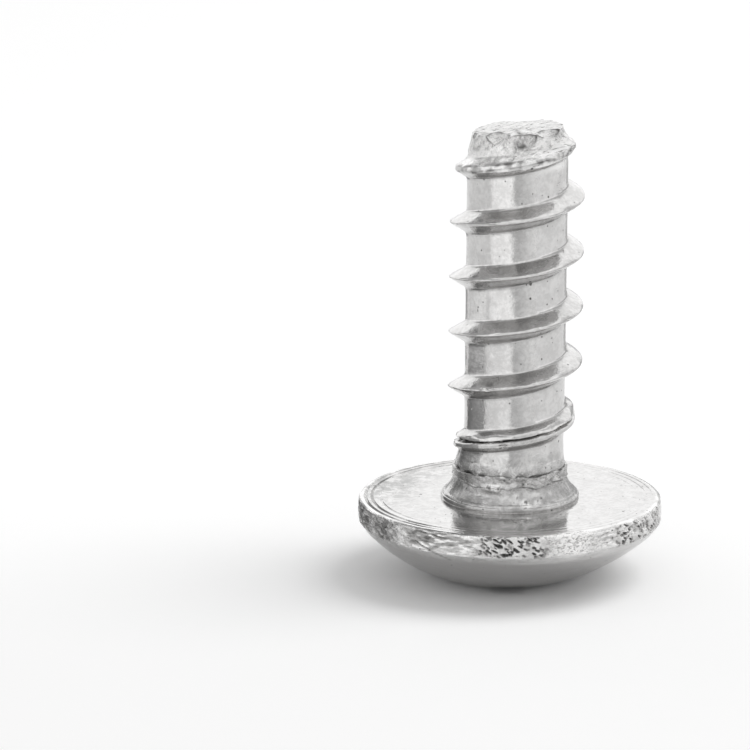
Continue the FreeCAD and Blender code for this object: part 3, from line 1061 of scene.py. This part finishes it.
def mark_wear_and_light(piece, head, shank):
    """Attributes that the steel reads, by the place of each vertex: wear, painted shade and painted
    highlight.
    """
    marks = {
        "torn": lambda place: (
            rim_wear(place) + neck_wear(place) * (1 - smooth_step(0.85, 1.0, place.z))
            + 0.6 * tip_wear(place)),
        # Bare sheared steel at the point, painted brighter as well, and painted highlights on the rim's
        # scales, ridges, bevel and rounded edge, on bright patches of the neck and as glints above the
        # seam.
        "bare_and_highlight": lambda place: (
            rim_skin(place, head)[2] + neck_skin(place, head)[1] + bare_point(place, shank)
            + rim_edge(place) * (0.6 + noise.noise(place * 3)) + seam_glints(place)),
        "sheared": lambda place: (
            bare_point(place, shank) * (1 - 0.85 * smooth_step(8.12, 7.98, place.z))),
        "bright": seat_share,
        # Painted shade in cracks, pits, crevices, roots, the seam and along chip outlines, partly grime in
        # the torn skin.
        "grime_and_shade": lambda place: (
            rim_skin(place, head)[1] + neck_skin(place, head)[0] + seam_cavity(place, head)
            + thread_cavity(place, shank) + point_cavity(place)),
        "polished": lambda place: smooth_step(-0.62, -0.70, place.z),
        "darkened": darkened_share}
    for name, share_at in marks.items():
        layer = piece.data.attributes.new(name, "FLOAT", "POINT")
        for vertex in piece.data.vertices:
            layer.data[vertex.index].value = min(1.0, share_at(vertex.co))
    outline_chips(piece, shank)


def outline_chips(piece, shank):
    """Paint shade along the broken outlines of the chips at the point, most where they bite into the
    sheared face.
    """
    layer = piece.data.attributes["grime_and_shade"]
    mesh = bmesh.new()
    mesh.from_mesh(piece.data)
    spots = []
    for edge in mesh.edges:
        if len({face.material_index for face in edge.link_faces}) > 1:
            for share in (0.0, 0.33, 0.67):
                spots.append(edge.verts[0].co.lerp(edge.verts[1].co, share))
    outline = kdtree.KDTree(len(spots))
    for number, spot in enumerate(spots):
        outline.insert(spot, number)
    outline.balance()
    for vertex in mesh.verts:
        if vertex.co.z < 7.9:
            continue
        _, _, away = outline.find(vertex.co)
        ragged = noise.noise(vertex.co * 4)
        strength = 0.20 + 0.75 * smooth_step(0.22, 0.05, under_face(vertex.co, shank))
        strength *= smooth_step(-0.4, 0.0, ragged) * hump(away, 0, 0.026 + 0.024 * ragged)
        value = layer.data[vertex.index].value
        layer.data[vertex.index].value = max(value, strength)
    mesh.free()


class Nodes:
    """Short way to write a node tree."""

    def __init__(self, tree):
        self.tree = tree

    def add(self, kind, inputs=None, **settings):
        """New node with its settings, and with its sockets set or linked."""
        node = self.tree.nodes.new(kind)
        for name, value in settings.items():
            setattr(node, name, value)
        for name, value in (inputs or {}).items():
            if isinstance(value, bpy.types.NodeSocket):
                self.tree.links.new(value, node.inputs[name])
            else:
                node.inputs[name].default_value = value
        return node

    def math(self, operation, first, second, clamp=False):
        """Result of a sum, product or like step on two values."""
        return self.add(
            "ShaderNodeMath", {0: first, 1: second}, operation=operation, use_clamp=clamp).outputs[0]

    def total(self, weighted):
        """Sum of values, each times its weight."""
        result = 0.0
        for value, weight in weighted:
            result = self.math("ADD", result, self.math("MULTIPLY", value, weight))
        return result

    def mix(self, share, first, second):
        """Value between two, by a share."""
        return self.add("ShaderNodeMix", {0: share, 2: first, 3: second}).outputs[0]

    def mark(self, name):
        """Attribute of the mesh."""
        return self.add("ShaderNodeAttribute", attribute_name=name).outputs["Fac"]

    def place(self):
        """Place on the object."""
        return self.add("ShaderNodeTexCoord").outputs["Object"]

    def ramp(self, value, low, high, start=0.0, finish=1.0):
        """Value from start at low to finish at high."""
        return self.add(
            "ShaderNodeMapRange",
            {"Value": value, "From Min": low, "From Max": high, "To Min": start, "To Max": finish},
            interpolation_type="SMOOTHSTEP").outputs["Result"]


def new_material(name):
    """Material and the way into its empty node tree."""
    material = bpy.data.materials.new(name)
    material.use_nodes = True
    material.node_tree.nodes.clear()
    return material, Nodes(material.node_tree)


def specks(nodes, place, scale, largest, commonness):
    """Small round spots of uneven size, from 0 to 1."""
    cell = nodes.add("ShaderNodeTexVoronoi", {"Vector": place, "Scale": scale, "Randomness": 1.0})
    chance = nodes.add("ShaderNodeSeparateColor", {"Color": cell.outputs["Color"]}).outputs["Red"]
    size = nodes.ramp(chance, 1 - commonness, 1.0, 0.0, largest * scale)
    return nodes.ramp(nodes.math("SUBTRACT", size, cell.outputs["Distance"]), 0.0, 0.012 * scale)


def patterned(nodes, place, scale, detail, roughness=0.6, distortion=0.0):
    """Noise from about 0.3 to 0.7."""
    return nodes.add("ShaderNodeTexNoise", {
        "Vector": place, "Scale": scale, "Detail": detail, "Roughness": roughness,
        "Distortion": distortion}).outputs["Fac"]


def blend(nodes, share, first, second):
    """Colour between two, by a share."""
    first = (*first, 1) if not isinstance(first, bpy.types.NodeSocket) else first
    second = (*second, 1) if not isinstance(second, bpy.types.NodeSocket) else second
    return nodes.add("ShaderNodeMix", {0: share, 6: first, 7: second}, data_type="RGBA").outputs[2]


def steel(look):
    """Stainless steel: satin skin with fine grain and pits, bright bearing face, torn patches, and painted
    shade and painted highlights read from the mesh's attributes.
    """
    material, nodes = new_material("stainless_steel_finish")
    in_mm = nodes.add(
        "ShaderNodeMapping", {"Vector": nodes.place(), "Scale": (1 / MM,) * 3}).outputs["Vector"]
    ringed = nodes.add("ShaderNodeMapping", {"Vector": in_mm, "Scale": (1.0, 1.0, 4.0)}).outputs["Vector"]
    sheared_way = nodes.add("ShaderNodeMapping", {
        "Vector": in_mm, "Rotation": (0, 0, math.radians(42)), "Scale": (0.8, 0.13, 0.2)},
        vector_type="TEXTURE").outputs["Vector"]
    marks = {}
    for name in ("torn", "bare_and_highlight", "sheared", "bright", "grime_and_shade", "polished", "darkened"):
        marks[name] = nodes.mark(name)
    cloud = patterned(nodes, in_mm, 1.1, 3.0)
    mottle = patterned(nodes, in_mm, 3.2, 6.0, 0.72, 0.4)
    grain = patterned(nodes, in_mm, 12.0, 3.0)
    lines = patterned(nodes, ringed, 3.0, 5.0, 0.65)
    crumple = patterned(nodes, in_mm, 7.0, 7.0, 0.72, 0.6)
    streaks = patterned(nodes, sheared_way, 2.6, 5.0, 0.7, 0.3)
    spots = nodes.math(
        "MAXIMUM", specks(nodes, in_mm, 2.9, 0.040, 0.40), specks(nodes, in_mm, 8.5, 0.024, 0.45))
    uneven = nodes.total(((mottle, 1.0), (grain, 0.6), (marks["polished"], -0.25)))
    dull = nodes.ramp(uneven, 0.64, 0.98)
    colour = blend(nodes, dull, look.dull_colour, look.colour)
    # Painted shade on the left of the bearing face, and darker patches on the neck.
    darkening = nodes.math("MULTIPLY", marks["darkened"], nodes.ramp(mottle, 0.62, 0.40))
    colour = blend(nodes, darkening, colour, look.darkening_colour)
    # Bare steel and painted highlights.
    colour = blend(nodes, marks["bare_and_highlight"], colour, look.bare_and_highlight_colour)
    # Painted shade of holes in the torn skin.
    hole_shade = nodes.math("MULTIPLY", marks["torn"], nodes.ramp(crumple, 0.42, 0.30))
    lines_cut = nodes.math("MULTIPLY", marks["sheared"], nodes.ramp(streaks, 0.465, 0.40, 0.0, 0.75))
    dark = spots
    for mark in (marks["grime_and_shade"], hole_shade, lines_cut):
        dark = nodes.math("MAXIMUM", dark, mark, clamp=True)
    # Dark specks, streaks and painted shade.
    colour = blend(nodes, dark, colour, look.pit_and_shade_colour)
    plain = nodes.ramp(cloud, 0.35, 0.65, look.satin - 0.02, look.satin + 0.03)
    rough = nodes.mix(marks["bright"], plain, look.bright)
    rough = nodes.mix(marks["torn"], rough, look.torn)
    rough = nodes.mix(marks["sheared"], rough, look.sheared)
    relief = nodes.total((
        (cloud, 0.9), (mottle, 0.20), (lines, 0.14), (grain, 0.05), (spots, -0.5),
        (crumple, nodes.math("MULTIPLY", marks["torn"], 1.6)),
        (streaks, nodes.math("MULTIPLY", marks["sheared"], 0.9))))
    strength = nodes.ramp(marks["bright"], 0.0, 1.0, 1.0, 0.5)
    bump = nodes.add(
        "ShaderNodeBump", {"Height": relief, "Strength": strength, "Distance": 0.03 * MM}).outputs["Normal"]
    shader = nodes.add("ShaderNodeBsdfPrincipled", {
        "Base Color": colour, "Metallic": 1.0, "Roughness": rough, "Normal": bump})
    nodes.add("ShaderNodeOutputMaterial", {"Surface": shader.outputs[0]})
    return material


def seen_directly(nodes):
    """1 for the rays that show a thing to the camera, straight or in steel or glass."""
    rays = nodes.add("ShaderNodeLightPath")
    seen = nodes.math("ADD", rays.outputs["Is Camera Ray"], rays.outputs["Is Glossy Ray"])
    return nodes.math("ADD", seen, rays.outputs["Is Transmission Ray"], clamp=True)


def floor_material():
    """Pale matte floor that stays white where it is seen and keeps the shadow."""
    material, nodes = new_material("floor_paper")
    seen = seen_directly(nodes)
    colour = blend(nodes, seen, (0.8, 0.8, 0.8), (1, 1, 1))
    paper = nodes.add("ShaderNodeBsdfDiffuse", {"Color": colour}).outputs[0]
    depth = nodes.add("ShaderNodeSeparateXYZ", {"Vector": nodes.place()}).outputs["Y"]
    far = nodes.ramp(depth, -8 * MM, 8 * MM, 0.0, 0.07)
    haze = nodes.add("ShaderNodeEmission", {
        "Color": (1, 1, 1, 1),
        "Strength": nodes.math("MULTIPLY", far, nodes.add("ShaderNodeLightPath").outputs["Is Camera Ray"])})
    shader = nodes.add("ShaderNodeAddShader", {0: paper, 1: haze.outputs[0]})
    nodes.add("ShaderNodeOutputMaterial", {"Surface": shader.outputs[0]})
    return material


def light_world(stage):
    """White surroundings: an even fill, plain white where they are seen, brighter in the steel."""
    world = bpy.data.worlds.new("soft_room")
    bpy.context.scene.world = world
    world.use_nodes = True
    world.node_tree.nodes.clear()
    nodes = Nodes(world.node_tree)
    rays = nodes.add("ShaderNodeLightPath")
    seen = nodes.math("ADD", rays.outputs["Is Camera Ray"], rays.outputs["Is Transmission Ray"], clamp=True)
    plain = nodes.mix(seen, stage.fill, 1.0)
    strength = nodes.mix(rays.outputs["Is Glossy Ray"], plain, stage.horizon)
    shader = nodes.add("ShaderNodeBackground", {"Color": (1, 1, 1, 1), "Strength": strength})
    nodes.add("ShaderNodeOutputWorld", {"Surface": shader.outputs[0]})


def soft_lamp(name, place, size, power):
    """Round soft lamp that points at the screw and isn't seen itself."""
    bpy.ops.object.light_add(type="AREA", location=place)
    lamp = bpy.context.object
    lamp.name = name
    lamp.rotation_euler = (-Vector(place)).to_track_quat("-Z", "Y").to_euler()
    lamp.data.shape = "DISK"
    lamp.data.size = size
    lamp.data.energy = power
    lamp.visible_camera = False
    lamp.visible_glossy = False


def make_card(piece, upward, across):
    """Turn a sheet into a card that only the steel's reflections see, graded upward and across."""
    low, high = piece.bound_box[0][2], piece.bound_box[1][2]
    share = piece.data.attributes.new("across", "FLOAT", "POINT")
    azimuths = [math.atan2(vertex.co.x, -vertex.co.y) for vertex in piece.data.vertices]
    first, last = min(azimuths), max(azimuths)
    for vertex, azimuth in zip(piece.data.vertices, azimuths):
        share.data[vertex.index].value = (azimuth - first) / (last - first)
    material, nodes = new_material(piece.name + "_grey")
    height = nodes.add("ShaderNodeSeparateXYZ", {"Vector": nodes.place()}).outputs["Z"]
    grey = nodes.math(
        "MULTIPLY", nodes.ramp(height, low, high + 0.1 * MM, *upward),
        nodes.ramp(nodes.mark("across"), 0.0, 1.0, *across))
    shader = nodes.add("ShaderNodeEmission", {"Color": (1, 1, 1, 1), "Strength": grey})
    nodes.add("ShaderNodeOutputMaterial", {"Surface": shader.outputs[0]})
    piece.data.materials.append(material)
    piece.visible_camera = False
    piece.visible_diffuse = False
    piece.visible_transmission = False
    piece.visible_shadow = False


def hang_card(name, place, radius, grey):
    """Round grey card overhead."""
    piece = new_piece(
        name, bpy.ops.mesh.primitive_circle_add, vertices=ROUND_COLUMNS, radius=radius, fill_type="NGON")
    bpy.ops.transform.translate(value=place)
    bpy.ops.object.mode_set(mode="OBJECT")
    make_card(piece, (grey, grey), (1, 1))


def stand_card(name, azimuths, distance, heights, upward, across):
    """Curved upright card round the screw, between two azimuths counted from the camera's side."""
    low, high = heights
    piece = draw_chain(name, [
        Vector((math.sin(azimuth) * distance, -math.cos(azimuth) * distance, low))
        for azimuth in steps(*azimuths, ARC_COLUMNS)])
    bpy.ops.mesh.select_all(action="SELECT")
    bpy.ops.mesh.extrude_region_move(TRANSFORM_OT_translate={"value": (0, 0, high - low)})
    bpy.ops.object.mode_set(mode="OBJECT")
    make_card(piece, upward, across)


class SCREW_OT_make_screw(bpy.types.Operator):
    """Model the screw around the frame and give it its steel finish"""

    bl_idname = "screw.make_screw"
    bl_label = "Make the screw"

    def execute(self, context):
        scene = context.scene
        piece = roll_shank(scene.screw_shank)
        tip = weigh(piece, "tip", tip_wear)
        roughen(piece, tip, 0.16, 0.05)
        combine(piece, turn_head(scene.screw_head), "UNION")
        combine(piece, recess_tool(scene.screw_head, scene.screw_recess), "DIFFERENCE")
        combine(piece, lands_tool(scene.screw_head, scene.screw_recess), "DIFFERENCE")
        break_point(piece, scene.screw_shank)
        mark_wear_and_light(piece, scene.screw_head, scene.screw_shank)
        set_head_aside(piece, mm(scene.screw_head.offset))
        piece.name = "truss_head_screw"
        piece.scale = (MM, MM, MM)
        activate(piece)
        bpy.ops.object.transform_apply(scale=True)
        shade(piece)
        piece.data.materials.clear()
        piece.data.materials.append(steel(scene.screw_steel))
        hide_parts(NODE)
        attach(piece, "root")
        return {"FINISHED"}


class SCREW_OT_make_stage(bpy.types.Operator):
    """Lay the floor, hang the lamp and the cards, and set the camera"""

    bl_idname = "screw.make_stage"
    bl_label = "Make the stage"

    def execute(self, context):
        stage = context.scene.screw_stage
        bpy.ops.object.select_all(action="DESELECT")
        bpy.ops.mesh.primitive_plane_add(size=stage.floor_size, location=(0, 0, NODE_LOW.z))
        floor = context.object
        floor.name = "floor"
        floor.data.materials.append(floor_material())
        light_world(stage)
        soft_lamp("key_lamp", LAMP_PLACE, LAMP_SIZE, stage.key_power)
        for name, place, radius, grey in OVERHEAD_CARDS:
            hang_card(name, Vector(place) * MM, radius * MM, grey)
        for name, azimuths, distance, heights, upward, across in STANDING_CARDS:
            stand_card(
                name, [math.radians(azimuth) for azimuth in azimuths], distance * MM,
                [height * MM for height in heights], upward, across)
        camera_data = bpy.data.cameras.new("camera")
        camera = bpy.data.objects.new("camera", camera_data)
        context.scene.collection.objects.link(camera)
        camera_data.lens = stage.lens
        camera_data.sensor_width = SENSOR_WIDTH
        camera_data.clip_start = 1 * MM
        back = Vector((0, -math.cos(stage.elevation), math.sin(stage.elevation)))
        aim = Vector((stage.aim_sideways, 0, stage.aim_height))
        camera.location = aim + back * stage.distance
        camera.rotation_euler = (math.pi / 2 - stage.elevation, 0, 0)
        context.scene.camera = camera
        context.scene.view_settings.view_transform = "Standard"
        return {"FINISHED"}


class SCREW_PT_panel(bpy.types.Panel):
    """Sizes, finish and stage of the screw"""

    bl_idname = "SCREW_PT_panel"
    bl_label = "Truss head screw"
    bl_space_type = "VIEW_3D"
    bl_region_type = "UI"
    bl_category = "Screw"

    def draw(self, context):
        scene = context.scene
        for group in (scene.screw_head, scene.screw_shank, scene.screw_recess, scene.screw_steel):
            box = self.layout.box()
            for name in group.__annotations__:
                box.prop(group, name)
        self.layout.operator(SCREW_OT_make_screw.bl_idname)
        box = self.layout.box()
        for name in scene.screw_stage.__annotations__:
            box.prop(scene.screw_stage, name)
        self.layout.operator(SCREW_OT_make_stage.bl_idname)


CLASSES = (
    HeadSizes, ShankSizes, RecessSizes, SteelLook, StageLook,
    SCREW_OT_make_screw, SCREW_OT_make_stage, SCREW_PT_panel)
GROUPS = (
    ("screw_head", HeadSizes), ("screw_shank", ShankSizes), ("screw_recess", RecessSizes),
    ("screw_steel", SteelLook), ("screw_stage", StageLook))


def register():
    for item in CLASSES:
        bpy.utils.register_class(item)
    for name, group in GROUPS:
        setattr(bpy.types.Scene, name, PointerProperty(type=group))


def unregister():
    for name, _ in GROUPS:
        delattr(bpy.types.Scene, name)
    for item in reversed(CLASSES):
        bpy.utils.unregister_class(item)


def main():
    register()
    bpy.ops.screw.make_screw()
    bpy.ops.screw.make_stage()


if __name__ == "__main__":
    main()
